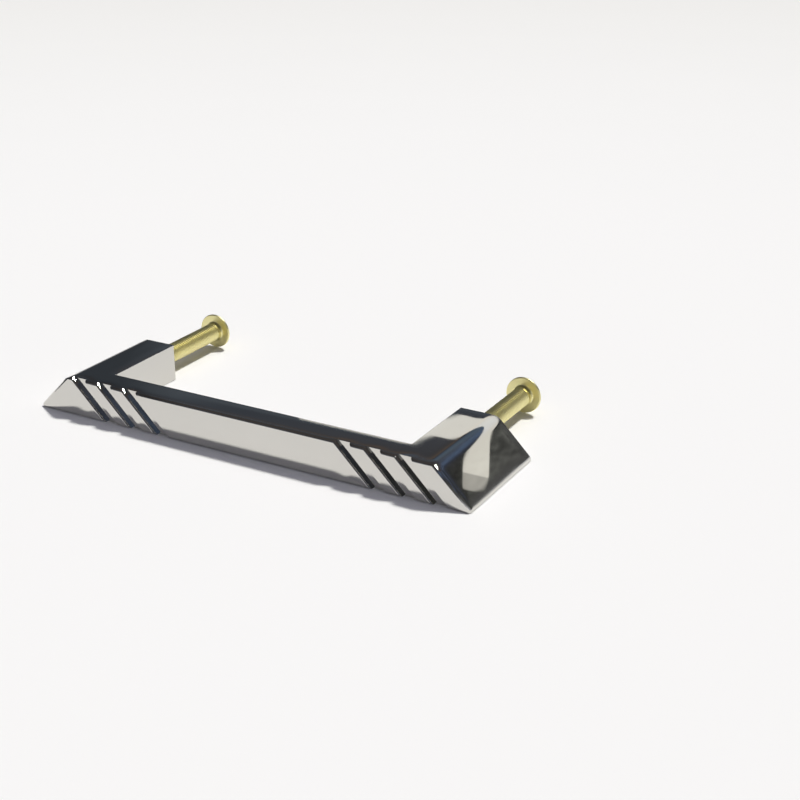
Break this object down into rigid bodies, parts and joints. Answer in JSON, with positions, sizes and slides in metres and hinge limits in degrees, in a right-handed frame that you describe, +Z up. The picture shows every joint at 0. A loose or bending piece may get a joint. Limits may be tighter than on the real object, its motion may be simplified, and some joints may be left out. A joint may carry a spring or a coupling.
{
  "type": "bar pull",
  "caption": "Straight drawer pull with slanted ends and grooved front face, carried on two posts, with machine screws in its feet.",
  "frame": {"origin": "under the middle of the whole part, on the surface that it lies on", "axes": "+X runs along the bar, +Y points from the front face to the drawer and the screw heads, +Z points up from the long edge of the front face to its short edge"},
  "size_m": [0.124, 0.0588, 0.01],
  "materials": {
    "pull_finish": "bright polished nickel plate",
    "screw_finish": "bright, light brass-coloured plate"
  },
  "bodies": {
    "root": {"pull_body": "pull_finish", "mounting_screw_left": "screw_finish", "mounting_screw_right": "screw_finish"}
  },
  "joints": []
}
